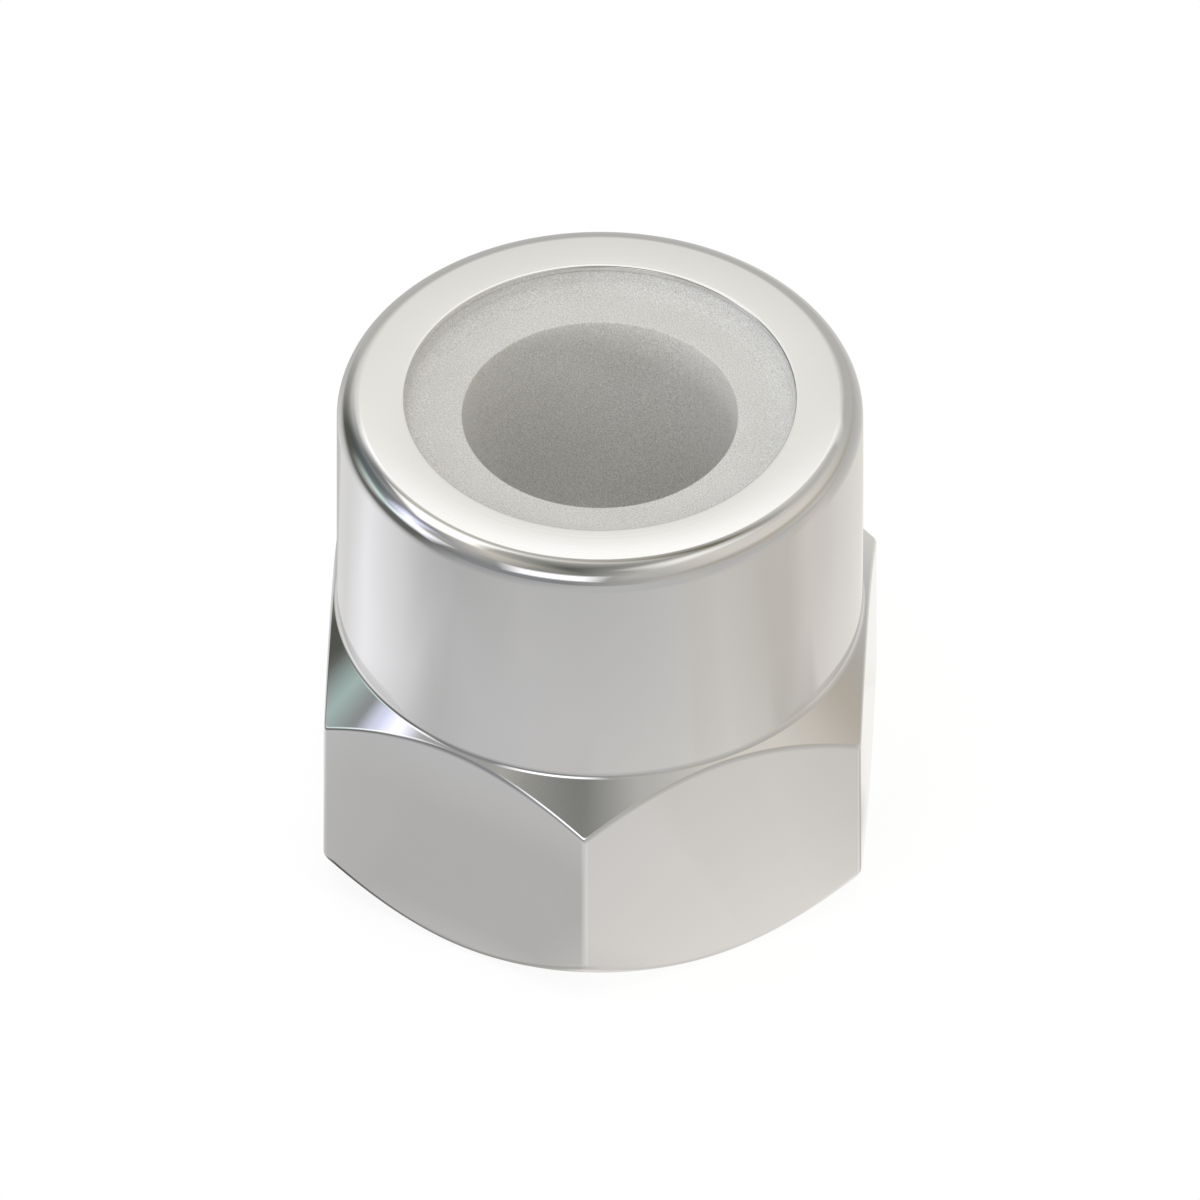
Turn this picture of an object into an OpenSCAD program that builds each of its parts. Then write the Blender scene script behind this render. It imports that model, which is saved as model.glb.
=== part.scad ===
// Hex lock nut with a tall round collar and a nylon locking insert.
// Millimetres. The nut stands on its bearing face: the origin is the centre of
// that face and +Z runs up the bore. Two corners of the hexagon lie on +X and -X,
// so one pair of flats faces +Y and -Y.
// The body is one piece of steel, turned and tapped from hexagonal bar. Its collar
// is bored out for the insert, and its top edge is rolled in over it as a lip.

/* [Hexagon] */
// Width across the flats, which is the spanner size
across_flats = 10; // [9:0.1:11]
// Height of the upright edge at each corner, between the two chamfers
corner_edge_h = 3.17; // [2:0.01:6]
// Diameter of the bearing face, where the lower chamfer starts
bearing_face_d = 9.8; // [8:0.1:10]
// Slope of both chamfers, measured from the bearing face
chamfer_angle = 45; // [30:1:55]

/* [Collar] */
// Outer diameter of the collar
collar_d = 9.78; // [9.3:0.01:10]
// Height of the collar, from the upper chamfer to the top of the lip
collar_h = 5.04; // [4:0.01:8]
// Radius of the rolled top edge
collar_round_r = 0.46; // [0.1:0.01:0.5]
// Wall of the collar beside the insert
collar_wall = 0.7; // [0.5:0.05:0.9]

/* [Lip] */
// Diameter of the opening inside the rolled lip
lip_opening_d = 7.27; // [6:0.01:7.4]
// Thickness of the lip at the opening
lip_edge_t = 0.1; // [0.05:0.01:0.3]
// Thickness of the lip where it leaves the collar's wall
lip_root_t = 0.5; // [0.35:0.05:0.9]

/* [Thread] */
// Nominal diameter of the metric thread
thread_d = 6; // [5.5:0.1:6.4]
// Pitch of the thread
thread_pitch = 1; // [0.75:0.05:1.25]
// Height of the insert's seat above the bearing face, where the threaded bore ends
seat_h = 4.8; // [3.5:0.1:6]
// Diameter of the countersinks at both ends of the thread
countersink_d = 6.5; // [6:0.1:7.2]
// Full angle of the countersinks
countersink_angle = 110; // [90:5:130]

/* [Insert] */
// Bore of the insert, a little under the thread's pitch diameter
insert_bore_d = 5.13; // [4.5:0.01:5.6]
// Depth of the insert's flat top face below the top of the lip
insert_recess = 0.42; // [0.35:0.01:1]
// Radius at the foot of the insert's rim, beside its flat top face
insert_rim_r = 0.12; // [0.02:0.01:0.15]
// Radius of the edge between the insert's top face and its bore
insert_edge_r = 0.05; // [0.01:0.01:0.2]
// Clearance between the insert and the steel beside and above it
insert_gap = 0.02; // [0.005:0.005:0.05]

/* [Hidden] */
$fn = 96;
sides = 6;
// How far a cutting shape runs past the face that it cuts
overcut = 0.5;

// Hexagon and its two chamfer cones
corner_r = across_flats / 2 / cos(180 / sides);
bearing_r = bearing_face_d / 2;
collar_r = collar_d / 2;
chamfer_slope = tan(chamfer_angle);
lower_chamfer_h = (corner_r - bearing_r) * chamfer_slope;
upper_chamfer_h = (corner_r - collar_r) * chamfer_slope;
hexagon_h = lower_chamfer_h + corner_edge_h + upper_chamfer_h;
total_h = hexagon_h + collar_h;
// The two cones meet outside the corners, so they cut nothing but the chamfers
cones_meet_r = (hexagon_h / chamfer_slope + bearing_r + collar_r) / 2;
cones_meet_z = (cones_meet_r - bearing_r) * chamfer_slope;

// Threaded bore, drilled to the size of the thread's crests
thread_bore_r = (thread_d - thread_pitch) / 2;
countersink_r = countersink_d / 2;
countersink_slope = 1 / tan(countersink_angle / 2);
countersink_h = (countersink_r - thread_bore_r) * countersink_slope;

// Room for the insert, under the lip
cavity_r = collar_r - collar_wall;
lip_r = lip_opening_d / 2;
lip_angle = atan2(lip_root_t - lip_edge_t, cavity_r - lip_r);

// Insert
insert_r = cavity_r - insert_gap;
insert_bore_r = insert_bore_d / 2;
insert_top_z = total_h - insert_recess;

// Height of the lip's sloping underside at a radius
function lip_under_z(r) = total_h - lip_edge_t - (r - lip_r) * tan(lip_angle);

// Height of the insert's rim at a radius, clear of the lip's underside
function insert_rim_z(r) = lip_under_z(r) - insert_gap / cos(lip_angle);

// Hexagonal bar, chamfered at both ends. The upper cone runs on inside the collar
module hexagon() {
    cone_end_z = hexagon_h + overcut * chamfer_slope;
    intersection() {
        cylinder(h = cone_end_z, r = corner_r, $fn = sides);
        rotate_extrude()
            polygon([
                [0, 0],
                [bearing_r, 0],
                [cones_meet_r, cones_meet_z],
                [collar_r - overcut, cone_end_z],
                [0, cone_end_z]
            ]);
    }
}

// Round collar with its rolled top edge, from the middle of the hexagon up
module collar() {
    rotate_extrude()
        union() {
            translate([0, cones_meet_z])
                square([collar_r, total_h - collar_round_r - cones_meet_z]);
            translate([0, cones_meet_z])
                square([collar_r - collar_round_r, total_h - cones_meet_z]);
            translate([collar_r - collar_round_r, total_h - collar_round_r])
                circle(r = collar_round_r);
        }
}

// Tapped bore between its two countersinks: the lower one leads the bolt in
module threaded_bore() {
    rotate_extrude()
        polygon([
            [0, -overcut],
            [countersink_r + overcut / countersink_slope, -overcut],
            [thread_bore_r, countersink_h],
            [thread_bore_r, seat_h - countersink_h],
            [countersink_r, seat_h],
            [countersink_r, seat_h + overcut],
            [0, seat_h + overcut]
        ]);
}

// Room for the insert: flat seat, straight wall, sloping lip and its opening
module insert_cavity() {
    rotate_extrude()
        polygon([
            [0, seat_h],
            [cavity_r, seat_h],
            [cavity_r, lip_under_z(cavity_r)],
            [lip_r, lip_under_z(lip_r)],
            [lip_r, total_h + overcut],
            [0, total_h + overcut]
        ]);
}

module nut_body() {
    color([0.8, 0.79, 0.77])
        difference() {
            union() {
                hexagon();
                collar();
            }
            threaded_bore();
            insert_cavity();
        }
}

// Recess inside the insert's rim, rounded at its foot
module insert_recess_section() {
    translate([0, insert_top_z])
        square([lip_r - insert_rim_r, insert_recess]);
    translate([0, insert_top_z + insert_rim_r])
        square([lip_r, insert_recess]);
    translate([lip_r - insert_rim_r, insert_top_z + insert_rim_r])
        circle(r = insert_rim_r);
}

// What the rounding takes off the edge between the insert's top face and its bore
module insert_edge_section() {
    difference() {
        translate([0, insert_top_z - insert_edge_r])
            square([insert_bore_r + insert_edge_r, insert_edge_r + overcut]);
        translate([insert_bore_r + insert_edge_r, insert_top_z - insert_edge_r])
            circle(r = insert_edge_r);
    }
}

module nylon_insert() {
    color([0.9, 0.9, 0.87])
        rotate_extrude()
            difference() {
                polygon([
                    [insert_bore_r, seat_h],
                    [insert_r, seat_h],
                    [insert_r, insert_rim_z(insert_r)],
                    [lip_r, insert_rim_z(lip_r)],
                    [insert_bore_r, insert_rim_z(lip_r)]
                ]);
                insert_recess_section();
                insert_edge_section();
            }
}

nut_body();
nylon_insert();
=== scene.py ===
"""Looks of a hex lock nut: a satin stainless steel body and the nylon sleeve that locks the bolt.

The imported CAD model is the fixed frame, in metres: the nut stands on its bearing face, the axis of the
bore is +Z, and two corners of the hexagon lie on +X and -X. Both pieces are built here again with the
fine edges, the real M6 thread and the finishes that the CAD solids leave out.
"""

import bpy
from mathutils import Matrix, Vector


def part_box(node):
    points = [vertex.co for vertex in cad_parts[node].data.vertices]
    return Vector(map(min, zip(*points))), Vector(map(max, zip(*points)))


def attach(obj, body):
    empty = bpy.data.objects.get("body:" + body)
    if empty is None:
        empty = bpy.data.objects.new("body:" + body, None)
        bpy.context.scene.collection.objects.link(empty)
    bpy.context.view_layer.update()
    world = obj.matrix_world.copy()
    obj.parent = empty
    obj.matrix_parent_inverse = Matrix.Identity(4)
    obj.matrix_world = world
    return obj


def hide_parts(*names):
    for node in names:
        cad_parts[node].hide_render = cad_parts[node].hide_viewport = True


bl_info = {
    "name": "Hex Lock Nut",
    "version": (1, 0, 0),
    "blender": (4, 5, 0),
    "location": "View3D > Sidebar > Lock Nut",
    "description": "Builds a hex lock nut with its nylon sleeve, and a plain pale stage for it",
    "category": "Object",
}

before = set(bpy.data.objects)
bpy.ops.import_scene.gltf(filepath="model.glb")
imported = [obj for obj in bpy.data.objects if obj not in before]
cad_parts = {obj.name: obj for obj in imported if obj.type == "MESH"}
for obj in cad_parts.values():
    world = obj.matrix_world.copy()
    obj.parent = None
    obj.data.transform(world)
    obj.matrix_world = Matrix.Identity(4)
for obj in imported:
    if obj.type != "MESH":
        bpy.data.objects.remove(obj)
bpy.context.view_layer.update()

from itertools import product
from math import atan, cos, pi, radians, sin, sqrt, tan

import bpy
import numpy as np
from bpy.props import FloatProperty, FloatVectorProperty, IntProperty, PointerProperty
from mathutils import Vector

MM = 0.001
SIDES = 6
SECTOR = 2 * pi / SIDES
# Nearest and furthest thing that the camera sees, as shares of its distance
CLIP_START = 0.01
CLIP_END = 20
FINE_STEPS = 4
ROUND_STEPS = 16
THREAD_STEPS = 3
# Mark of the rubbed edges, which the steel makes smoother and lighter with a painted highlight
EDGE_MARK = "edge"
# Plain face beside a marked edge, as a share of the edge's radius
STEEL_REACH = 0.2
NYLON_REACH = 0.6
# How much the rounding at the foot of the hexagon grows for each step from mid-flat towards a corner
FOOT_GROWTH = 0.22
# Share of the free room beside it that each wide bend on top of the lip takes up
CROWN_BEND = 0.9
BORDER_BEND = 0.3
# Thread points that come this close to the end of the bore join it
WELD = 0.002 * MM
TINY = 1e-9
# Depth of the relief in both materials
RELIEF_DEPTH = 0.01 * MM
# How far red, green and blue light go into the nylon, beside its light depth
MILK_RADIUS = (1.0, 0.95, 0.85)
WHITE = (1.0, 1.0, 1.0, 1.0)

STEEL_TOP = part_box("nut_body")[1].z
SLEEVE_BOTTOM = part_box("nylon_insert")[0].z


def length(name, description, default_mm):
    """A size in metres, shown in the scene's length unit."""
    return FloatProperty(
        name=name, description=description, default=default_mm * MM,
        min=0.0, precision=6, unit="LENGTH",
    )


def angle(name, description, default_degrees):
    """An angle, kept in radians and shown in degrees."""
    return FloatProperty(
        name=name, description=description, default=radians(default_degrees), subtype="ANGLE",
    )


def share(name, description, default):
    """A number from 0 to 1."""
    return FloatProperty(
        name=name, description=description, default=default, min=0.0, max=1.0, subtype="FACTOR",
    )


def colour(name, description, default):
    """A plain colour."""
    return FloatVectorProperty(
        name=name, description=description, default=default,
        size=3, min=0.0, max=1.0, subtype="COLOR",
    )


class BodySizes(bpy.types.PropertyGroup):
    """Sizes of the steel body, apart from its thread."""

    across_flats: length("Across flats", "Width across the flats, the spanner size", 10.0)
    corner_edge: length("Corner edge", "Height of each upright edge between the two chamfers", 3.17)
    bearing_d: length("Bearing face", "Diameter of the flat face that the nut stands on", 9.8)
    chamfer: angle("Chamfer", "Slope of both chamfers, from the bearing face", 45.0)
    collar_d: length("Collar", "Outer diameter of the round collar", 9.78)
    collar_round: length("Collar rounding", "Radius of the rolled top edge", 0.46)
    collar_wall: length("Collar wall", "Wall of the collar beside the sleeve", 0.7)
    lip_d: length("Lip opening", "Diameter of the opening inside the rolled lip", 7.27)
    lip_edge: length("Lip edge", "Thickness of the lip at its opening", 0.1)
    lip_root: length("Lip root", "Thickness of the lip where it leaves the wall", 0.5)
    crown: angle("Crown", "How far the top of the rolled lip slopes off towards its rounding", 1.4)
    countersink_d: length("Countersink", "Diameter of the countersinks at both ends of the thread", 6.5)
    countersink: angle("Countersink angle", "Full angle of the countersinks", 110.0)
    corner_round: length("Corner rounding", "Radius of the hexagon's upright edges", 0.1)
    upper_edge: length("Upper edges", "Radius of the edges on both sides of the upper chamfer", 0.18)
    lower_edge: length("Lower edges", "Radius of the edges at the bearing face and at the seat", 0.165)
    lip_round: length("Lip rounding", "Radius of the lip's upper edge, at its opening", 0.03)
    lip_fall: angle("Lip fall", "How far the narrow border of the lip slopes into the opening", 1.3)
    lip_border: length("Lip border", "Width of that sloping border", 0.035)
    lip_under: length("Lip's fine edge", "Radius of the edges under the lip", 0.012)
    columns: IntProperty(
        name="Columns per flat", description="Mesh columns across one flat", default=36, min=6,
    )


class ThreadSizes(bpy.types.PropertyGroup):
    """Sizes of the tapped thread."""

    major_d: length("Thread diameter", "Nominal diameter, at the bottom of the grooves", 6.0)
    minor_d: length("Crest diameter", "Diameter between the crests", 5.0)
    pitch: length("Pitch", "Rise of the thread in one turn, right-hand", 1.0)
    flank: angle("Flank angle", "Slope of each flank, from straight across the axis", 30.0)
    crest_edge: length("Crest edge", "Radius of the edges of the crests", 0.03)
    root_edge: length("Root rounding", "Radius at the bottom of the grooves", 0.05)


class SleeveSizes(bpy.types.PropertyGroup):
    """Sizes of the nylon sleeve."""

    bore_d: length("Bore", "Diameter of the smooth bore", 5.13)
    recess: length("Recess", "Depth of the flat top face under the top of the lip", 0.42)
    rim_round: length("Rim rounding", "Radius at the foot of the rim", 0.03)
    rise: length("Rise", "How far the top face rises towards the rim", 0.09)
    rise_width: length("Rise width", "Width of the rising part of the top face", 0.38)
    rim_draft: length("Rim draft", "How far the rim leans outward to its top", 0.035)
    edge: length("Bore edge", "Radius of the edges at both ends of the bore and at the foot", 0.02)
    rim_edge: length("Rim edge", "Radius of the edges on top of the rim, under the lip", 0.008)
    gap: length("Gap", "Clearance to the steel beside and above the sleeve", 0.003)
    columns: IntProperty(
        name="Columns", description="Mesh columns round the sleeve", default=216, min=24,
    )


class SteelFinish(bpy.types.PropertyGroup):
    """Finish of the stainless steel."""

    tone: colour("Steel", "Colour of the stainless steel", (0.80, 0.79, 0.775))
    # Lighter colour of the marked edges: a painted highlight on the rubbed edges
    edge_highlight: colour("Polished edge", "Colour of the rubbed edges", (0.88, 0.875, 0.865))
    roughness: share("Roughness", "Roughness of the turned and ground faces", 0.07)
    edge_roughness: share("Edge roughness", "Roughness of the rubbed edges", 0.06)
    thread_roughness: share("Thread roughness", "Roughness of the tapped thread", 0.3)
    line_pitch: length("Turning lines", "Spacing of the turning lines", 0.035)
    grain: length("Grain", "Size of the fine grain", 0.03)
    grain_height: share("Grain height", "Height of the grain beside that of the turning lines", 0.4)
    relief: share("Relief", "How strongly turning lines and grain show", 0.02)
    clouds: length("Clouds", "Size of the soft patches", 2.5)
    cloud_shade: share("Cloud shade", "How much the patches darken the steel", 0.015)
    grain_spread: share("Grain spread", "How much the grain changes the roughness", 0.012)
    cloud_spread: share("Cloud spread", "How much the patches change the roughness", 0.01)
    thread_blend: length("Thread blend", "Width where the roughness turns into the thread's", 0.1)


class NylonFinish(bpy.types.PropertyGroup):
    """Finish of the natural nylon."""

    tone: colour("Nylon", "Colour of the milky nylon", (0.81, 0.80, 0.772))
    cloudy: colour("Cloudy nylon", "Colour of the denser clouds in it", (0.85, 0.842, 0.818))
    roughness: share("Roughness", "Roughness of the frosted skin", 0.34)
    depth: length("Light depth", "How deep light goes into the nylon", 0.3)
    grain: length("Grain", "Size of the frosting", 0.025)
    grain_tone: share("Grain tone", "How much the frosting lightens and darkens the nylon", 0.24)
    grain_spread: share("Grain spread", "How much the frosting changes the roughness", 0.06)
    relief: share("Relief", "How strongly the frosting shows as relief", 0.35)
    clouds: length("Clouds", "Size of the milky clouds", 1.5)
    milk: share("Milk", "Share of the light that goes into the nylon", 0.5)
    shine: share("Shine", "Strength of the reflections on the skin", 0.75)
    ior: FloatProperty(name="IOR", description="Index of refraction of nylon", default=1.53, min=1.0)


class StageLook(bpy.types.PropertyGroup):
    """Floor, light and camera."""

    floor: colour("Floor", "Colour of the pale floor", (0.9, 0.9, 0.9))
    floor_size: length("Floor size", "Side of the square floor", 600.0)
    floor_gap: length("Floor gap", "Distance from the bearing face down to the floor", 0.02)
    shadow: share("Shadow", "How much of the floor's shadow the camera sees", 0.12)
    shadow_reach: length("Shadow reach", "Distance from the axis where the shadow has faded out", 10.0)
    shadow_full: share("Full shadow", "Share of that distance where the shadow starts to fade", 0.65)
    open_light: share("Open light", "How bright the floor's own colour is lit where no shadow falls", 0.58)
    contact_full: length("Full contact", "Width of the darkest part of the mirrored contact shadow", 0.015)
    contact_width: length("Contact width", "Width of the contact shadow along the flats", 0.16)
    contact_spread: share("Contact spread", "How much the contact shadow widens towards the corners", 0.3)
    contact_plain: share("Plain contact", "Share of half the flats' width up to which it is plain", 0.92)
    contact_toned: share("Toned contact", "Share of half the flats' width from which it is toned", 0.96)
    mirror_height: length("Mirror height", "Height from which the steel sees the cards of the floor", 9.7)
    azimuth: angle("Camera azimuth", "Direction of the camera round the nut, 0 looks along +Y", 32.87)
    elevation: angle("Camera elevation", "Height of the camera above the horizon", 42.2)
    aim_height: length("Aim height", "Height of the point on the axis that the camera aims at", 4.904)
    frame_width: length("Frame width", "Width of the picture, seen without perspective", 22.29)
    distance: length("Camera distance", "Distance from the camera to the aim", 120.0)


class LockNutSettings(bpy.types.PropertyGroup):
    """All sizes, finishes and the stage."""

    body: PointerProperty(type=BodySizes)
    thread: PointerProperty(type=ThreadSizes)
    sleeve: PointerProperty(type=SleeveSizes)
    steel: PointerProperty(type=SteelFinish)
    nylon: PointerProperty(type=NylonFinish)
    stage: PointerProperty(type=StageLook)


# Outlines in the plane of the axis: distance from the axis, height, and the direction along the outline


def unit(vector):
    """The direction of a pair of arrays."""
    return vector / np.sqrt((vector ** 2).sum(0))


def rounded(corners, before, after):
    """Rounds the corners of an outline that runs with the material on its left.

    Each corner is (radius from the axis, height, rounding, steps, reach). A step of plain face follows on
    both sides of a rounding, reach away, so that marks on the edge end there. Returns rows of r, z, the
    direction along the outline, and the edge mark of each row.
    """
    points = [np.array(before, float)]
    points += [np.array([c[0], c[1]]) for c in corners]
    points.append(np.array(after, float))
    rows = []
    for number, (_r, _z, rounding, steps, reach) in enumerate(corners, 1):
        corner = points[number]
        way_in = unit(corner - points[number - 1])
        way_out = unit(points[number + 1] - corner)
        turn = np.arctan2(
            way_in[0] * way_out[1] - way_in[1] * way_out[0], (way_in * way_out).sum(0)
        )
        tangent = rounding * np.tan(abs(turn) / 2)
        start = corner - way_in * tangent
        inward = np.array([-way_in[1], way_in[0]]) * np.sign(turn)
        if reach:
            rows.append((start - way_in * reach, way_in, 0.0))
        for step in range(steps + 1):
            a = turn * step / steps
            place = start + rounding * (
                way_in * np.sin(abs(a)) + inward * (1 - np.cos(a))
            )
            along = way_in * np.cos(a) + np.array([-way_in[1], way_in[0]]) * np.sin(a)
            rows.append((place, along, 1.0 if reach else 0.0))
        if reach:
            rows.append((corner + way_out * (tangent + reach), way_out, 0.0))
    return rows


def corner_reach(off, centre, fine):
    """The hexagon's radius at an angle off the middle of a rounded corner, and how it changes."""
    under = max(sqrt(fine ** 2 - (centre * sin(off)) ** 2), TINY)
    return centre * cos(off) + under, -centre * sin(off) * (1 + centre * cos(off) / under)


def flat_reach(off, half):
    """The hexagon's radius at an angle off the middle of a flat, and how it changes."""
    return half / cos(off), half * sin(off) / cos(off) ** 2


def hexagon_columns(sizes):
    """Azimuths of the mesh columns, the hexagon's radius there, how it changes, and the edge mark."""
    half = sizes.across_flats / 2
    fine = sizes.corner_round
    centre = (half - fine) / cos(SECTOR / 2)
    touch = atan(fine * sin(SECTOR / 2) / (centre + fine * cos(SECTOR / 2)))
    support = touch + STEEL_REACH * fine / half
    fan = np.linspace(-touch, touch, 2 * FINE_STEPS + 1)
    across = np.linspace(support, SECTOR - support, sizes.columns)
    columns = []
    for side in range(SIDES + 1):
        start = side * SECTOR
        columns += [(start + a, *corner_reach(a, centre, fine), 1.0) for a in fan]
        columns += [(start + a, *flat_reach(a - SECTOR / 2, half), 0.0) for a in across]
    # One full turn, which starts in the middle of a corner
    count = SIDES * (len(fan) + len(across))
    return np.array(columns[FINE_STEPS:FINE_STEPS + count]).T


def hexagon_height(sizes):
    """Height of the hexagon, where the collar starts."""
    corner = sizes.across_flats / 2 / cos(SECTOR / 2)
    lower = (corner - sizes.bearing_d / 2) * tan(sizes.chamfer)
    upper = (corner - sizes.collar_d / 2) * tan(sizes.chamfer)
    return lower + sizes.corner_edge + upper


def body_outline(sizes, hexagon_r):
    """Rows of the body's outline from the lower countersink round to the upper one."""
    slope = tan(sizes.chamfer)
    bearing_r = sizes.bearing_d / 2
    collar_r = sizes.collar_d / 2
    hexagon_h = hexagon_height(sizes)
    wall_r = collar_r - sizes.collar_wall
    lip_r = sizes.lip_d / 2
    sink_r = sizes.countersink_d / 2
    flat = np.zeros_like(hexagon_r)
    fine = sizes.lower_edge
    foot = fine + FOOT_GROWTH * (hexagon_r - sizes.across_flats / 2)
    upper = sizes.upper_edge
    under = sizes.lip_under
    reach = STEEL_REACH * fine
    top = STEEL_TOP + flat
    seat = SLEEVE_BOTTOM
    # A narrow border falls into the opening. Outside it the top is level up to its middle, and from
    # there it slopes off towards the rounding in one wide bend
    border = sizes.lip_round + sizes.lip_border
    border_r = lip_r + border
    border_drop = border * tan(sizes.lip_fall)
    border_bend = BORDER_BEND * sizes.lip_border / tan(sizes.lip_fall / 2)
    half_top = (collar_r - sizes.collar_round - border_r) / 2
    crown_r = border_r + half_top
    crown_drop = (collar_r - crown_r) * tan(sizes.crown)
    crown_bend = CROWN_BEND * half_top / tan(sizes.crown / 2)
    corners = (
        (sink_r + flat, flat, fine, FINE_STEPS, reach),
        (bearing_r + flat, flat, fine, FINE_STEPS, 0.0),
        (hexagon_r, (hexagon_r - bearing_r) * slope, foot, FINE_STEPS, 0.0),
        (hexagon_r, hexagon_h - (hexagon_r - collar_r) * slope, upper, FINE_STEPS, 0.0),
        (collar_r + flat, hexagon_h + flat, upper, FINE_STEPS, 0.0),
        (collar_r + flat, top - crown_drop, sizes.collar_round, ROUND_STEPS, 0.0),
        (crown_r + flat, top, crown_bend, FINE_STEPS, 0.0),
        (border_r + flat, top, border_bend, FINE_STEPS, 0.0),
        (lip_r + flat, top - border_drop, sizes.lip_round, FINE_STEPS, 0.0),
        (lip_r + flat, top - sizes.lip_edge, under, FINE_STEPS, 0.0),
        (wall_r + flat, top - sizes.lip_root, under, FINE_STEPS, 0.0),
        (wall_r + flat, seat + flat, fine, FINE_STEPS, 0.0),
        (sink_r + flat, seat + flat, fine, FINE_STEPS, 0.0),
    )
    # A point further down each countersink gives the outline its first and its last direction
    inward = 4 * fine
    depth = inward / tan(sizes.countersink / 2)
    before = np.array([sink_r - inward + flat, depth + flat])
    after = np.array([sink_r - inward + flat, seat - depth + flat])
    return rounded(corners, before, after)


def thread_period(thread):
    """One turn of the thread's outline, going down: r, drop, direction along it."""
    crest_r = thread.minor_d / 2
    root_r = thread.major_d / 2
    flank = (root_r - crest_r) * tan(thread.flank)
    # A metric thread is flat over an eighth of its pitch at the nominal diameter
    root = thread.pitch / 8
    crest = thread.pitch - root - 2 * flank
    stops = [
        (crest_r, 0.0, thread.crest_edge),
        (crest_r, crest, thread.crest_edge),
        (root_r, crest + flank, thread.root_edge),
        (root_r, crest + flank + root, thread.root_edge),
    ]
    corners = [
        (np.array([r]), np.array([-down]), edge, THREAD_STEPS, 0.0) for r, down, edge in stops
    ]
    before = np.array([[root_r], [flank]])
    after = np.array([[crest_r], [-thread.pitch]])
    return [(p[0][0], -p[1][0], t[0][0], t[1][0]) for p, t, _mark in rounded(corners, before, after)]


def corner_normal(r, along, r_turn, z_turn):
    """Normal of a surface swept round the axis, as parts outward, round and upward.

    along is the direction along the outline, and r_turn and z_turn are how r and z change with azimuth.
    """
    return np.array([r * along[1], z_turn * along[0] - r_turn * along[1], -r * along[0]])


def to_space(azimuth, r, z, normal):
    """Point and unit normal in the row frame."""
    c, s = np.cos(azimuth), np.sin(azimuth)
    point = np.stack([r * c, r * s, z], -1)
    turned = np.stack([
        normal[0] * c - normal[1] * s, normal[0] * s + normal[1] * c, normal[2] + 0 * c,
    ], -1)
    return point, turned / np.linalg.norm(turned, axis=-1, keepdims=True)


class Shape:
    """A mesh in the making: points with their normals and edge marks, and faces."""

    def __init__(self):
        self.points = []
        self.normals = []
        self.marks = []
        self.faces = []

    def add_row(self, points, normals, marks):
        """Adds points, and returns their numbers."""
        first = len(self.points)
        self.points.extend(points.tolist())
        self.normals.extend(normals.tolist())
        self.marks.extend(marks)
        return first + np.arange(len(points))

    def add_face(self, *corners):
        """Adds the face of four points, without those that fall together."""
        ring = list(dict.fromkeys(int(corner) for corner in corners))
        if len(ring) > 2:
            self.faces.append(ring)

    def to_piece(self, name):
        """The smooth mesh object, with its own normals and an edge mark on every point."""
        mesh = bpy.data.meshes.new(name)
        mesh.from_pydata(self.points, [], self.faces)
        mesh.validate(clean_customdata=False)
        mesh.polygons.foreach_set("use_smooth", [True] * len(mesh.polygons))
        mark = mesh.attributes.new(EDGE_MARK, "FLOAT", "POINT")
        mark.data.foreach_set("value", self.marks)
        mesh.normals_split_custom_set_from_vertices(self.normals)
        piece = bpy.data.objects.new(name, mesh)
        bpy.context.scene.collection.objects.link(piece)
        return piece


def outline_rows(shape, sizes):
    """Adds the outside of the body and the room for the sleeve, and returns azimuths and rows."""
    azimuth, hexagon_r, hexagon_slope, column_mark = hexagon_columns(sizes)
    step = 0.0001 * MM
    outline = body_outline(sizes, hexagon_r)
    moved = body_outline(sizes, hexagon_r + step)
    # The upright edges are marked between the two chamfers. Like every marked edge they are rubbed
    # smoother and get a painted highlight, a lighter colour. Before the rounding at their foot come the
    # bearing face's and the countersink's, which has a plain row on both sides as well
    block = FINE_STEPS + 1
    foot = 2 * block + 2
    upright = range(foot + 1, foot + 2 * block - 1)
    rows = []
    for number, ((place, along, mark), (other, _a, _m)) in enumerate(zip(outline, moved)):
        turn = (other - place) / step * hexagon_slope
        normal = corner_normal(place[0], along, turn[0], turn[1])
        marks = np.maximum(column_mark * (number in upright), mark).tolist()
        rows.append(shape.add_row(*to_space(azimuth, place[0], place[1], normal), marks))
    return azimuth, rows


def thread_rows(shape, sizes, thread, azimuth, plain):
    """Adds the thread, from the upper countersink down, and returns its rows and how many make a turn.

    The two cones cut it off, and what lies beyond them falls on the last or first row of the outline.
    """
    low = shape.points[plain[0][0]][2]
    high = shape.points[plain[-1][0]][2]
    drop = 1 / tan(sizes.countersink / 2)
    sink_r = sizes.countersink_d / 2
    rise = thread.pitch / (2 * pi)
    period = thread_period(thread)
    turns = int(np.ceil(SLEEVE_BOTTOM / thread.pitch)) + 1
    rows = []
    for turn_number, (r, down, along_r, along_z) in product(range(turns), period):
        z = SLEEVE_BOTTOM - turn_number * thread.pitch - down + rise * azimuth
        cone_low = sink_r - z / drop
        cone_high = sink_r - (SLEEVE_BOTTOM - z) / drop
        wall = np.maximum(r, np.maximum(cone_low, cone_high))
        on_low = wall == cone_low
        on_high = (wall == cone_high) & ~on_low
        side = on_high * 1.0 - on_low * 1.0
        cut = side != 0
        along = unit(np.array([
            np.where(cut, -side / drop, along_r), np.where(cut, -1.0, along_z),
        ]))
        normal = corner_normal(wall, along, side / drop * rise, rise)
        point, normal = to_space(azimuth, wall, z, normal)
        row = np.where(z >= high - WELD, plain[-1], np.where(z <= low + WELD, plain[0], -1))
        fresh = np.flatnonzero(row < 0)
        row[fresh] = shape.add_row(point[fresh], normal[fresh], [0.0] * len(fresh))
        rows.append(row)
    return rows, len(period)


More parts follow.
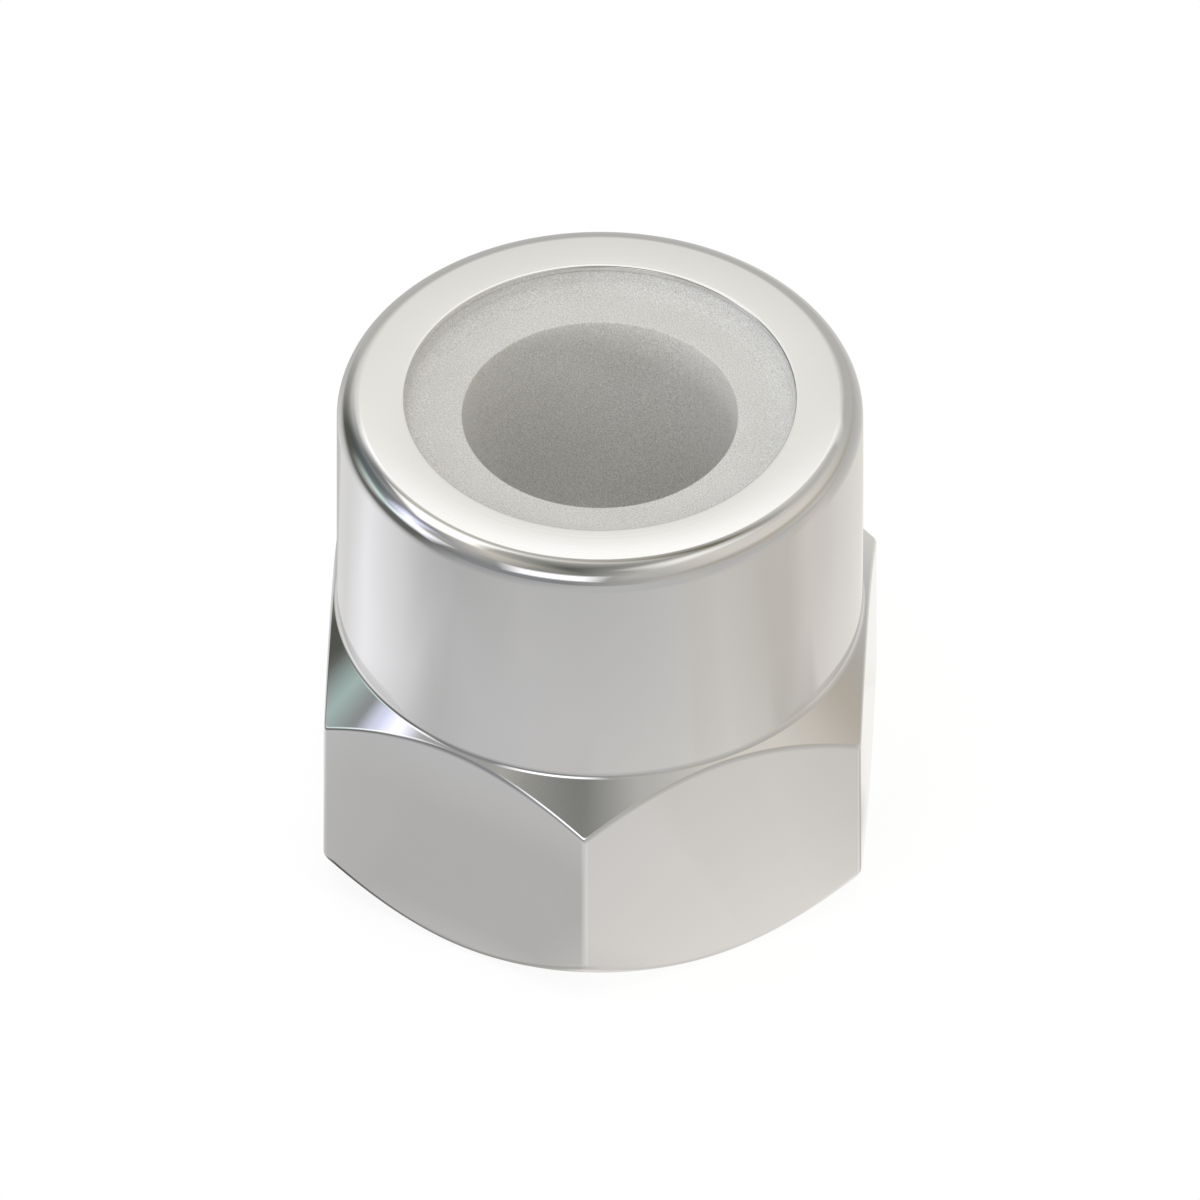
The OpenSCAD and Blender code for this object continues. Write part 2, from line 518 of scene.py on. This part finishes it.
def steel_mesh(sizes, thread):
    """The steel body with its fine edges and real thread, as one closed mesh."""
    shape = Shape()
    azimuth, plain = outline_rows(shape, sizes)
    tapped, period = thread_rows(shape, sizes, thread, azimuth, plain)
    loop = plain + tapped + [plain[0]]
    # Where each row of the last column goes on in the first: the thread comes out one turn higher
    onward = list(range(len(loop)))
    for number in range(len(plain), len(plain) + len(tapped)):
        onward[number] = max(number - period, len(plain) - 1)
    for number in range(len(loop) - 1):
        row, after = loop[number], loop[number + 1]
        for a, b, c, d in zip(row[:-1], row[1:], after[1:], after[:-1]):
            shape.add_face(a, b, c, d)
        seam = [loop[onward[k]][0] for k in (number, number + 1)]
        shape.add_face(row[-1], *seam, after[-1])
    return shape.to_piece("nut_body_steel")


def sleeve_mesh(sizes, body):
    """The nylon sleeve, turned round the axis."""
    wall_r = body.collar_d / 2 - body.collar_wall
    lip_r = body.lip_d / 2
    bore_r = sizes.bore_d / 2
    outer_r = wall_r - sizes.gap
    slope = (body.lip_root - body.lip_edge) / (wall_r - lip_r)
    lower = sizes.gap * sqrt(1 + slope ** 2)
    rim_top = STEEL_TOP - body.lip_edge - lower
    rim_low = rim_top - (outer_r - lip_r) * slope
    face = STEEL_TOP - sizes.recess
    fine = sizes.edge
    rim = sizes.rim_edge
    reach = NYLON_REACH * fine
    foot_r = lip_r - sizes.rim_draft
    # The bend at the foot of the rise, wide enough for a rise that starts gently
    rise_bend = sizes.rise_width ** 2 / (2 * sizes.rise)
    outline = (
        (bore_r, SLEEVE_BOTTOM, fine, 0.0),
        (outer_r, SLEEVE_BOTTOM, fine, 0.0),
        (outer_r, rim_low, rim, 0.0),
        (lip_r, rim_top, rim, 0.0),
        (foot_r, face + sizes.rise, sizes.rim_round, reach),
        (foot_r - sizes.rise_width, face, rise_bend, 0.0),
        (bore_r, face, fine, reach),
    )
    azimuth = np.linspace(0, 2 * pi, sizes.columns, endpoint=False)
    flat = np.zeros_like(azimuth)
    corners = [(r + flat, z + flat, edge, FINE_STEPS, beside) for r, z, edge, beside in outline]
    before = np.array([bore_r + flat, face + flat])
    after = np.array([bore_r + flat, SLEEVE_BOTTOM + flat])
    shape = Shape()
    rows = []
    for place, along, mark in rounded(corners, before, after):
        normal = corner_normal(place[0], along, flat, flat)
        point, normal = to_space(azimuth, place[0], place[1], normal)
        rows.append(shape.add_row(point, normal, [mark] * len(azimuth)))
    for row, after in zip(rows, rows[1:] + rows[:1]):
        for a, b, c, d in zip(row, np.roll(row, -1), np.roll(after, -1), after):
            shape.add_face(a, b, c, d)
    return shape.to_piece("nylon_sleeve")


# Shader nodes


def feed(tree, value, socket):
    """Links a socket to an input, or sets the input to a plain value."""
    if isinstance(value, bpy.types.NodeSocket):
        tree.links.new(value, socket)
    else:
        socket.default_value = value


def add_node(tree, kind, inputs=None, **settings):
    """A new node with its settings and its inputs by name or number."""
    node = tree.nodes.new(kind)
    for key, value in settings.items():
        setattr(node, key, value)
    for key, value in (inputs or {}).items():
        feed(tree, value, node.inputs[key])
    return node


def calc(tree, operation, *values):
    """The result of one Math node."""
    node = add_node(tree, "ShaderNodeMath", operation=operation)
    for socket, value in zip(node.inputs, values):
        feed(tree, value, socket)
    return node.outputs[0]


def vector_calc(tree, operation, *values):
    """The Vector Math node of one operation."""
    node = add_node(tree, "ShaderNodeVectorMath", operation=operation)
    for socket, value in zip(node.inputs, values):
        feed(tree, value, socket)
    return node


def blend_colour(tree, factor, first, second):
    """A mix of two colours. A Mix node has sockets of the same name, so they go by number."""
    return add_node(tree, "ShaderNodeMix", {0: factor, 6: first, 7: second}, data_type="RGBA").outputs[2]


def blend_value(tree, factor, first, second):
    """A mix of two numbers."""
    return add_node(tree, "ShaderNodeMix", {0: factor, 2: first, 3: second}, data_type="FLOAT").outputs[0]


def blend_shader(tree, factor, first, second):
    """A mix of two shaders."""
    return add_node(tree, "ShaderNodeMixShader", {0: factor, 1: first, 2: second}).outputs[0]


def remap(tree, value, from_low, from_high, to_low=0.0, to_high=1.0, smooth=False):
    """The result of one Map Range node."""
    node = add_node(tree, "ShaderNodeMapRange", {
        "Value": value, "From Min": from_low, "From Max": from_high,
        "To Min": to_low, "To Max": to_high,
    })
    node.interpolation_type = "SMOOTHSTEP" if smooth else "LINEAR"
    return node.outputs["Result"]


def opaque(tone):
    """A colour with full alpha."""
    return (*tone, 1.0)


def new_group(name, inputs, outputs):
    """An empty node group with named inputs and outputs, and its two end nodes."""
    tree = bpy.data.node_groups.new(name, "ShaderNodeTree")
    for label, kind, default in inputs:
        socket = tree.interface.new_socket(name=label, in_out="INPUT", socket_type=kind)
        socket.default_value = default
    for label, kind in outputs:
        tree.interface.new_socket(name=label, in_out="OUTPUT", socket_type=kind)
    ends = tree.nodes.new("NodeGroupInput"), tree.nodes.new("NodeGroupOutput")
    return tree, ends[0].outputs, ends[1].inputs


def use_group(tree, name, inputs):
    """The outputs of a node group that is placed in a material with its own values."""
    node = add_node(tree, "ShaderNodeGroup", node_tree=bpy.data.node_groups[name])
    for key, value in inputs.items():
        feed(tree, value, node.inputs[key])
    return node.outputs


def grain_group():
    """Fine even grain: frosting on nylon, the dull tooth of ground steel."""
    tree, given, result = new_group(
        "Fine grain",
        (("Vector", "NodeSocketVector", (0, 0, 0)), ("Size", "NodeSocketFloat", 0.03 * MM)),
        (("Height", "NodeSocketFloat"), ("Mask", "NodeSocketFloat")),
    )
    scale = calc(tree, "DIVIDE", 1.0, given["Size"])
    noise = add_node(tree, "ShaderNodeTexNoise", {
        "Vector": given["Vector"], "Scale": scale, "Detail": 2.0, "Roughness": 0.6,
    })
    feed(tree, noise.outputs["Fac"], result["Height"])
    feed(tree, remap(tree, noise.outputs["Fac"], 0.35, 0.65), result["Mask"])


def cloud_group():
    """Wide soft patches: handling and cleaning on steel, milky clouds in nylon."""
    tree, given, result = new_group(
        "Soft clouds",
        (("Vector", "NodeSocketVector", (0, 0, 0)), ("Size", "NodeSocketFloat", 2 * MM)),
        (("Mask", "NodeSocketFloat"),),
    )
    scale = calc(tree, "DIVIDE", 1.0, given["Size"])
    noise = add_node(tree, "ShaderNodeTexNoise", {
        "Vector": given["Vector"], "Scale": scale, "Detail": 3.0, "Roughness": 0.55,
    })
    feed(tree, remap(tree, noise.outputs["Fac"], 0.3, 0.7, smooth=True), result["Mask"])


def turning_group():
    """Fine rings that a turning tool leaves, along the axis and across faces."""
    tree, given, result = new_group(
        "Turning lines",
        (("Vector", "NodeSocketVector", (0, 0, 0)), ("Pitch", "NodeSocketFloat", 0.035 * MM)),
        (("Height", "NodeSocketFloat"), ("Radius", "NodeSocketFloat")),
    )
    parts = add_node(tree, "ShaderNodeSeparateXYZ", {"Vector": given["Vector"]})
    flat = add_node(tree, "ShaderNodeCombineXYZ", {
        "X": parts.outputs["X"], "Y": parts.outputs["Y"],
    })
    radius = vector_calc(tree, "LENGTH", flat.outputs["Vector"]).outputs["Value"]
    along = calc(tree, "ADD", radius, parts.outputs["Z"])
    place = calc(tree, "DIVIDE", along, given["Pitch"])
    noise = add_node(tree, "ShaderNodeTexNoise", {
        "W": place, "Scale": 1.0, "Detail": 2.0, "Roughness": 0.5,
    }, noise_dimensions="1D")
    feed(tree, noise.outputs["Fac"], result["Height"])
    feed(tree, radius, result["Radius"])


def new_material(name):
    """A node material with its Principled shader."""
    material = bpy.data.materials.new(name)
    material.use_nodes = True
    tree = material.node_tree
    tree.nodes.clear()
    shader = tree.nodes.new("ShaderNodeBsdfPrincipled")
    output = tree.nodes.new("ShaderNodeOutputMaterial")
    tree.links.new(shader.outputs["BSDF"], output.inputs["Surface"])
    return material, tree, shader


def add_relief(tree, shader, strength, height):
    """Fine relief on a material's surface."""
    bump = add_node(tree, "ShaderNodeBump", {
        "Strength": strength, "Distance": RELIEF_DEPTH, "Height": height,
    })
    feed(tree, bump.outputs["Normal"], shader.inputs["Normal"])


def steel_material(finish, body):
    """Stainless steel: turned and ground to a satin shine. Its rubbed edges are smoother, and a painted
    highlight makes them lighter.
    """
    material, tree, shader = new_material("satin_stainless_steel")
    place = tree.nodes.new("ShaderNodeTexCoord").outputs["Object"]
    edge = add_node(tree, "ShaderNodeAttribute", attribute_name=EDGE_MARK).outputs["Fac"]
    grain = use_group(tree, "Fine grain", {"Vector": place, "Size": finish.grain})
    clouds = use_group(tree, "Soft clouds", {"Vector": place, "Size": finish.clouds})
    lines = use_group(tree, "Turning lines", {"Vector": place, "Pitch": finish.line_pitch})
    sink_r = body.countersink_d / 2
    blend = finish.thread_blend / 2
    inside = remap(tree, lines["Radius"], sink_r - blend, sink_r + blend, 1.0, 0.0)
    # Painted highlight: the marked edges get a lighter colour than the rest of the steel
    tone = blend_colour(tree, edge, opaque(finish.tone), opaque(finish.edge_highlight))
    shade = remap(tree, clouds["Mask"], 0.0, 1.0, 1.0 - finish.cloud_shade, 1.0)
    tint = vector_calc(tree, "SCALE", tone)
    feed(tree, shade, tint.inputs["Scale"])
    feed(tree, tint.outputs["Vector"], shader.inputs["Base Color"])
    shader.inputs["Metallic"].default_value = 1.0
    dull = remap(tree, edge, 0.0, 1.0, finish.roughness, finish.edge_roughness)
    for mask, spread in ((grain["Mask"], finish.grain_spread), (clouds["Mask"], finish.cloud_spread)):
        dull = calc(tree, "ADD", dull, remap(tree, mask, 0.0, 1.0, -spread, spread))
    rough = blend_value(tree, inside, dull, finish.thread_roughness)
    feed(tree, rough, shader.inputs["Roughness"])
    relief = calc(tree, "MULTIPLY_ADD", grain["Height"], finish.grain_height, lines["Height"])
    add_relief(tree, shader, finish.relief, relief)
    return material


def nylon_material(finish):
    """Natural nylon: milky, lit from inside, with a finely frosted skin."""
    material, tree, shader = new_material("natural_frosted_nylon")
    place = tree.nodes.new("ShaderNodeTexCoord").outputs["Object"]
    grain = use_group(tree, "Fine grain", {"Vector": place, "Size": finish.grain})
    clouds = use_group(tree, "Soft clouds", {"Vector": place, "Size": finish.clouds})
    tone = blend_colour(tree, clouds["Mask"], opaque(finish.tone), opaque(finish.cloudy))
    speckle = remap(tree, grain["Mask"], 0.0, 1.0, 1.0 - finish.grain_tone, 1.0 + finish.grain_tone)
    speckled = vector_calc(tree, "SCALE", tone)
    feed(tree, speckle, speckled.inputs["Scale"])
    feed(tree, speckled.outputs["Vector"], shader.inputs["Base Color"])
    shader.inputs["Subsurface Weight"].default_value = finish.milk
    shader.inputs["Subsurface Radius"].default_value = MILK_RADIUS
    shader.inputs["Subsurface Scale"].default_value = finish.depth
    shader.inputs["IOR"].default_value = finish.ior
    shader.inputs["Specular IOR Level"].default_value = finish.shine
    smoothest = finish.roughness - finish.grain_spread
    roughest = finish.roughness + finish.grain_spread
    dull = remap(tree, grain["Mask"], 0.0, 1.0, smoothest, roughest)
    feed(tree, dull, shader.inputs["Roughness"])
    add_relief(tree, shader, finish.relief, grain["Height"])
    return material


# Studio light. Each card is a soft-edged rectangle of light: where its middle lies as seen from the nut,
# in degrees to the right of the camera and above the horizon, its width, height and turn in degrees,
# the softness of its edges, and its tone. Later cards lie over earlier ones

SKY_TONE = (0.546, 0.540, 0.524)
SKY_CARDS = (
    ("right wall", 84, 45, 69, 53, -32, 0.34, (0.78, 0.75, 0.70)),
    ("back wall", -154, 49, 46, 33, -25, 0.70, (1.54, 1.54, 1.49)),
    ("dark band", -152, 51, 31, 8, -13, 0.42, (0.43, 0.42, 0.36)),
    ("back shade", 178, 53, 36, 9, 0, 0.60, (0.64, 0.63, 0.60)),
    ("back strip", -173, 45, 47, 3, -3, 0.80, (1.60, 1.61, 1.62)),
    ("dark arc", -118, 53, 53, 17, 16, 0.54, (0.02, 0.02, 0.13)),
    ("front", -36, -1, 104, 92, -12, 0.35, (0.28, 0.29, 0.30)),
    ("ceiling front", -30, 66, 39, 71, 20, 0.45, (0.10, 0.11, 0.10)),
    ("dark left", -126, -4, 41, 148, 4, 0.42, (0.11, 0.11, 0.09)),
    ("dark left low", -89, -4, 27, 65, -49, 0.31, (0.15, 0.15, 0.15)),
    ("dark left high", -114, 35, 38, 38, 6, 0.63, (0.06, 0.10, 0.13)),
    ("left grey", -82, 63, 50, 20, -2, 0.80, (0.97, 0.93, 0.84)),
    ("teal card", -98, 14, 25, 10, -2, 0.78, (0.86, 1.26, 1.21)),
    ("lavender card", -91, 34, 13, 20, 6, 0.45, (1.15, 1.20, 1.60)),
    ("high band", -126, 61, 25.5, 15.5, 1, 0.36, (2.10, 2.10, 2.06)),
    ("dark blob", 157, 64, 34, 14, -19, 0.44, (0.20, 0.19, 0.14)),
    ("highlight", 84, 72, 33, 12, -10, 0.63, (1.27, 1.28, 1.26)),
    ("right dark", 79, 23, 145, 13, -2, 0.73, (0.44, 0.39, 0.31)),
    ("main soft box", -20, 31, 25, 19, 3, 0.68, (3.20, 3.20, 3.35)),
    ("side soft box", -79, 20, 16, 15, -12, 0.87, (2.80, 2.80, 3.05)),
)
FLOOR_TONE = (0.560, 0.564, 0.570)
FLOOR_CARDS = (
    ("right low", 68, -73, 84, 90, -31, 0.48, (0.94, 0.91, 0.88)),
    ("right dark low", 84, -24, 38, 67, -56, 0.27, (0.62, 0.60, 0.56)),
    ("back low", 171, -55, 97, 90, 40, 0.71, (0.95, 0.91, 0.83)),
    ("left low", -107, -45, 52, 39, 34, 0.43, (0.99, 0.99, 1.03)),
    ("front low", -43, 5, 83, 57, 28, 0.43, (0.38, 0.38, 0.40)),
    ("front left low", -37, -55, 40, 19, -6, 0.33, (0.53, 0.53, 0.53)),
    ("right strip", 34, 2, 9, 97, 4, 0.80, (0.63, 0.59, 0.53)),
    ("right dark strip", 89, -32, 11, 35, -7, 0.80, (0.79, 0.74, 0.71)),
    ("right corner strip", 75, -56, 14, 24, 0, 0.30, (0.55, 0.52, 0.50)),
    ("left bright strip", -123, -56, 25, 77, 12, 0.37, (0.76, 0.76, 0.76)),
    ("left limb", -170, -39, 51, 77, -15, 0.09, (0.56, 0.56, 0.55)),
    ("front left middle", -37, -42, 32, 10, 0, 0.50, (0.62, 0.62, 0.64)),
    ("right far low", 133, -53, 20, 8, 35, 0.30, (0.96, 0.94, 0.91)),
    ("dark low", -103, 5, 93, 41, -14, 0.24, (0.14, 0.15, 0.14)),
)
CONTACT_TONE = (0.72, 0.71, 0.69)
CONTACT_CARDS = (
    ("contact left", -75, -62, 60, 120, 0, 0.50, (0.03, 0.03, 0.025)),
    ("contact right", 45, -62, 42, 120, 0, 0.05, (0.72, 0.71, 0.70)),
    ("contact far right", 112, -55, 60, 100, 0, 0.10, (0.95, 0.94, 0.92)),
)
# Fill lamps, which only dull surfaces show: degrees to the right of the camera and above the horizon,
# width in degrees and strength
FILL_LAMPS = (
    ("low fill", -50, 9.5, 12, 0.62),
    ("top fill", 0, 78, 40, 0.34),
)


def toward(azimuth, elevation):
    """The direction in which a point of the studio lies, seen from the nut."""
    return Vector((sin(azimuth) * cos(elevation), -cos(azimuth) * cos(elevation), sin(elevation)))


def card_group():
    """A soft rectangle of light: over 1 well inside it, under 0 outside."""
    tree, given, result = new_group(
        "Soft card",
        (
            ("Direction", "NodeSocketVector", (0, 0, 1)),
            ("Facing", "NodeSocketVector", (0, 0, 1)),
            ("Side", "NodeSocketVector", (1, 0, 0)),
            ("Up", "NodeSocketVector", (0, 1, 0)),
        ),
        (("Mask", "NodeSocketFloat"),),
    )
    ahead, aside, over = (
        vector_calc(tree, "DOT_PRODUCT", given["Direction"], given[name]).outputs["Value"]
        for name in ("Facing", "Side", "Up")
    )
    off = calc(tree, "MAXIMUM", calc(tree, "ABSOLUTE", aside), calc(tree, "ABSOLUTE", over))
    feed(tree, calc(tree, "SUBTRACT", ahead, off), result["Mask"])


def light_cards(tree, direction, plain, cards, camera_azimuth):
    """The colour of the light from a direction: the cards painted over a plain tone."""
    tone = opaque(plain)
    for _name, right, above, wide, tall, turned, softness, card_tone in cards:
        a = camera_azimuth + radians(right)
        e = radians(above)
        facing = toward(a, e)
        level = Vector((cos(a), sin(a), 0.0))
        upward = Vector((-sin(a) * sin(e), cos(a) * sin(e), cos(e)))
        side = level * cos(radians(turned)) + upward * sin(radians(turned))
        up = upward * cos(radians(turned)) - level * sin(radians(turned))
        edge = 2 * softness
        mask = use_group(tree, "Soft card", {
            "Direction": direction,
            "Facing": facing / edge,
            "Side": side / (edge * (1 + softness) * tan(radians(wide / 2))),
            "Up": up / (edge * (1 + softness) * tan(radians(tall / 2))),
        })["Mask"]
        tone = blend_colour(tree, mask, tone, opaque(card_tone))
    return tone


def studio_world(look):
    """The world: a pale studio of soft cards for the nut, plain white for the camera."""
    world = bpy.data.worlds.new("Pale studio")
    bpy.context.scene.world = world
    world.use_nodes = True
    tree = world.node_tree
    tree.nodes.clear()
    direction = tree.nodes.new("ShaderNodeTexCoord").outputs["Generated"]
    tone = light_cards(tree, direction, SKY_TONE, SKY_CARDS, look.azimuth)
    light = add_node(tree, "ShaderNodeBackground", {"Color": tone}).outputs[0]
    white = add_node(tree, "ShaderNodeBackground", {"Color": WHITE}).outputs[0]
    camera_ray = tree.nodes.new("ShaderNodeLightPath").outputs["Is Camera Ray"]
    both = blend_shader(tree, camera_ray, light, white)
    add_node(tree, "ShaderNodeOutputWorld", {"Surface": both})


def fill_lamp(name, azimuth, elevation, width, strength):
    """A wide far lamp that lights dull surfaces only, and isn't mirrored in the steel."""
    lamp = bpy.data.objects.new(name, bpy.data.lights.new(name, "SUN"))
    lamp.data.energy = strength
    lamp.data.angle = width
    lamp.visible_glossy = False
    lamp.rotation_mode = "QUATERNION"
    lamp.rotation_quaternion = toward(azimuth, elevation).to_track_quat("Z", "Y")
    bpy.context.scene.collection.objects.link(lamp)


def seen_floor(tree, look, radius, camera_ray):
    """What the camera sees of the floor: white but for a soft shadow near the nut."""
    # The light on the floor and its own glow make plain white where no shadow falls
    shaded = tuple(part * look.shadow / look.open_light for part in look.floor)
    diffuse = add_node(tree, "ShaderNodeBsdfDiffuse", {"Color": opaque(shaded)}).outputs[0]
    glow = add_node(tree, "ShaderNodeEmission", {"Color": WHITE, "Strength": 1.0 - look.shadow}).outputs[0]
    shadowed = add_node(tree, "ShaderNodeAddShader", {0: diffuse, 1: glow}).outputs[0]
    white = add_node(tree, "ShaderNodeEmission", {"Color": WHITE}).outputs[0]
    fading = look.shadow_full * look.shadow_reach
    near = remap(tree, radius, look.shadow_reach, fading, smooth=True)
    near = calc(tree, "MULTIPLY", near, camera_ray)
    return blend_shader(tree, near, white, shadowed)


def contact_shadow(tree, look, body, place, radius):
    """Where the floor is dark along the foot of the hexagon: 1 close to it, 0 outside."""
    half = body.across_flats / 2
    reach = 0.0
    for side in range(SIDES // 2):
        a = (side + 0.5) * SECTOR
        across = vector_calc(tree, "DOT_PRODUCT", place, (cos(a), sin(a), 0.0)).outputs["Value"]
        reach = calc(tree, "MAXIMUM", calc(tree, "ABSOLUTE", across), reach)
    off_flat = calc(tree, "SUBTRACT", reach, half)
    off_round = calc(tree, "SUBTRACT", radius, half)
    outside = calc(tree, "MULTIPLY_ADD", off_round, -look.contact_spread, off_flat)
    return remap(tree, outside, look.contact_full, look.contact_width, 1.0, 0.0)


def mirrored_floor(tree, look, body, place, radius):
    """What the steel mirrors of the floor: its cards, and a narrow contact shadow under the hexagon."""
    below_eye = vector_calc(tree, "SUBTRACT", place, (0.0, 0.0, look.mirror_height)).outputs["Vector"]
    direction = vector_calc(tree, "NORMALIZE", below_eye).outputs["Vector"]
    tone = light_cards(tree, direction, FLOOR_TONE, FLOOR_CARDS, look.azimuth)
    contact_tone = light_cards(tree, direction, CONTACT_TONE, CONTACT_CARDS, look.azimuth)
    # The cards of the contact shadow end at its rim, and further in under the nut it is plain
    half = body.across_flats / 2
    rim = remap(tree, radius, look.contact_plain * half, look.contact_toned * half)
    contact_tone = blend_colour(tree, rim, opaque(CONTACT_TONE), contact_tone)
    contact = contact_shadow(tree, look, body, place, radius)
    tone = blend_colour(tree, contact, tone, contact_tone)
    return add_node(tree, "ShaderNodeEmission", {"Color": tone}).outputs[0]


def floor_material(look, body):
    """A pale floor: white to the camera but for a soft shadow, softly lit to the nut, clear from below."""
    material = bpy.data.materials.new("pale_floor")
    material.use_nodes = True
    material.cycles.emission_sampling = "NONE"
    tree = material.node_tree
    tree.nodes.clear()
    path = tree.nodes.new("ShaderNodeLightPath").outputs
    place = tree.nodes.new("ShaderNodeTexCoord").outputs["Object"]
    radius = vector_calc(tree, "LENGTH", place).outputs["Value"]
    seen = seen_floor(tree, look, radius, path["Is Camera Ray"])
    mirrored = mirrored_floor(tree, look, body, place, radius)
    top = blend_shader(tree, path["Is Glossy Ray"], seen, mirrored)
    clear = tree.nodes.new("ShaderNodeBsdfTransparent").outputs[0]
    from_below = tree.nodes.new("ShaderNodeNewGeometry").outputs["Backfacing"]
    both = blend_shader(tree, from_below, top, clear)
    add_node(tree, "ShaderNodeOutputMaterial", {"Surface": both})
    return material


def add_floor(look, body):
    """The square floor, a hair under the bearing face."""
    half = look.floor_size / 2
    level = -look.floor_gap
    corners = [(-half, -half, level), (half, -half, level), (half, half, level), (-half, half, level)]
    mesh = bpy.data.meshes.new("floor")
    mesh.from_pydata(corners, [], [(0, 1, 2, 3)])
    mesh.materials.append(floor_material(look, body))
    floor = bpy.data.objects.new("floor", mesh)
    bpy.context.scene.collection.objects.link(floor)
    return floor


def add_camera(look):
    """The camera, which sees the nut without perspective."""
    camera = bpy.data.objects.new("camera", bpy.data.cameras.new("camera"))
    camera.data.type = "ORTHO"
    camera.data.ortho_scale = look.frame_width
    camera.data.clip_start = CLIP_START * look.distance
    camera.data.clip_end = CLIP_END * look.distance
    back = toward(look.azimuth, look.elevation)
    camera.location = Vector((0, 0, look.aim_height)) + back * look.distance
    camera.rotation_mode = "QUATERNION"
    camera.rotation_quaternion = (-back).to_track_quat("-Z", "Y")
    bpy.context.scene.collection.objects.link(camera)
    bpy.context.scene.camera = camera


class LOCKNUT_OT_body(bpy.types.Operator):
    """Builds the steel body with its broken edges, rolled lip and M6 thread"""

    bl_idname = "locknut.body"
    bl_label = "Steel Body"

    def execute(self, context):
        settings = context.scene.lock_nut
        piece = steel_mesh(settings.body, settings.thread)
        piece.data.materials.append(steel_material(settings.steel, settings.body))
        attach(piece, "root")
        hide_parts("nut_body")
        return {"FINISHED"}


class LOCKNUT_OT_sleeve(bpy.types.Operator):
    """Builds the nylon sleeve that locks the bolt"""

    bl_idname = "locknut.sleeve"
    bl_label = "Nylon Sleeve"

    def execute(self, context):
        settings = context.scene.lock_nut
        piece = sleeve_mesh(settings.sleeve, settings.body)
        piece.data.materials.append(nylon_material(settings.nylon))
        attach(piece, "root")
        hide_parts("nylon_insert")
        return {"FINISHED"}


class LOCKNUT_OT_stage(bpy.types.Operator):
    """Sets up the floor, the studio light and the camera"""

    bl_idname = "locknut.stage"
    bl_label = "Stage"

    def execute(self, context):
        settings = context.scene.lock_nut
        look = settings.stage
        studio_world(look)
        floor = add_floor(look, settings.body)
        for name, right, above, width, strength in FILL_LAMPS:
            fill_lamp(name, look.azimuth + radians(right), radians(above), radians(width), strength)
        add_camera(look)
        context.scene.view_settings.view_transform = "Standard"
        return {"FINISHED"}


class LOCKNUT_PT_panel(bpy.types.Panel):
    """Sizes, finishes and the buttons that build the nut"""

    bl_idname = "LOCKNUT_PT_panel"
    bl_label = "Hex Lock Nut"
    bl_space_type = "VIEW_3D"
    bl_region_type = "UI"
    bl_category = "Lock Nut"

    def draw(self, context):
        settings = context.scene.lock_nut
        for part in ("body", "thread", "sleeve", "steel", "nylon", "stage"):
            group = getattr(settings, part)
            box = self.layout.box()
            box.label(text=part.capitalize())
            for name in group.bl_rna.properties.keys():
                if name not in ("rna_type", "name"):
                    box.prop(group, name)
        for operator in OPERATORS:
            self.layout.operator(operator.bl_idname)


OPERATORS = (LOCKNUT_OT_stage, LOCKNUT_OT_body, LOCKNUT_OT_sleeve)
CLASSES = (
    BodySizes,
    ThreadSizes,
    SleeveSizes,
    SteelFinish,
    NylonFinish,
    StageLook,
    LockNutSettings,
    *OPERATORS,
    LOCKNUT_PT_panel,
)


def register():
    """Makes the settings, operators and panel known to Blender."""
    for cls in CLASSES:
        bpy.utils.register_class(cls)
    bpy.types.Scene.lock_nut = PointerProperty(type=LockNutSettings)


def unregister():
    """Takes them away again."""
    del bpy.types.Scene.lock_nut
    for cls in reversed(CLASSES):
        bpy.utils.unregister_class(cls)


def main():
    """Builds the stage and both pieces."""
    register()
    grain_group()
    cloud_group()
    turning_group()
    card_group()
    bpy.ops.locknut.stage()
    bpy.ops.locknut.body()
    bpy.ops.locknut.sleeve()


if __name__ == "__main__":
    main()
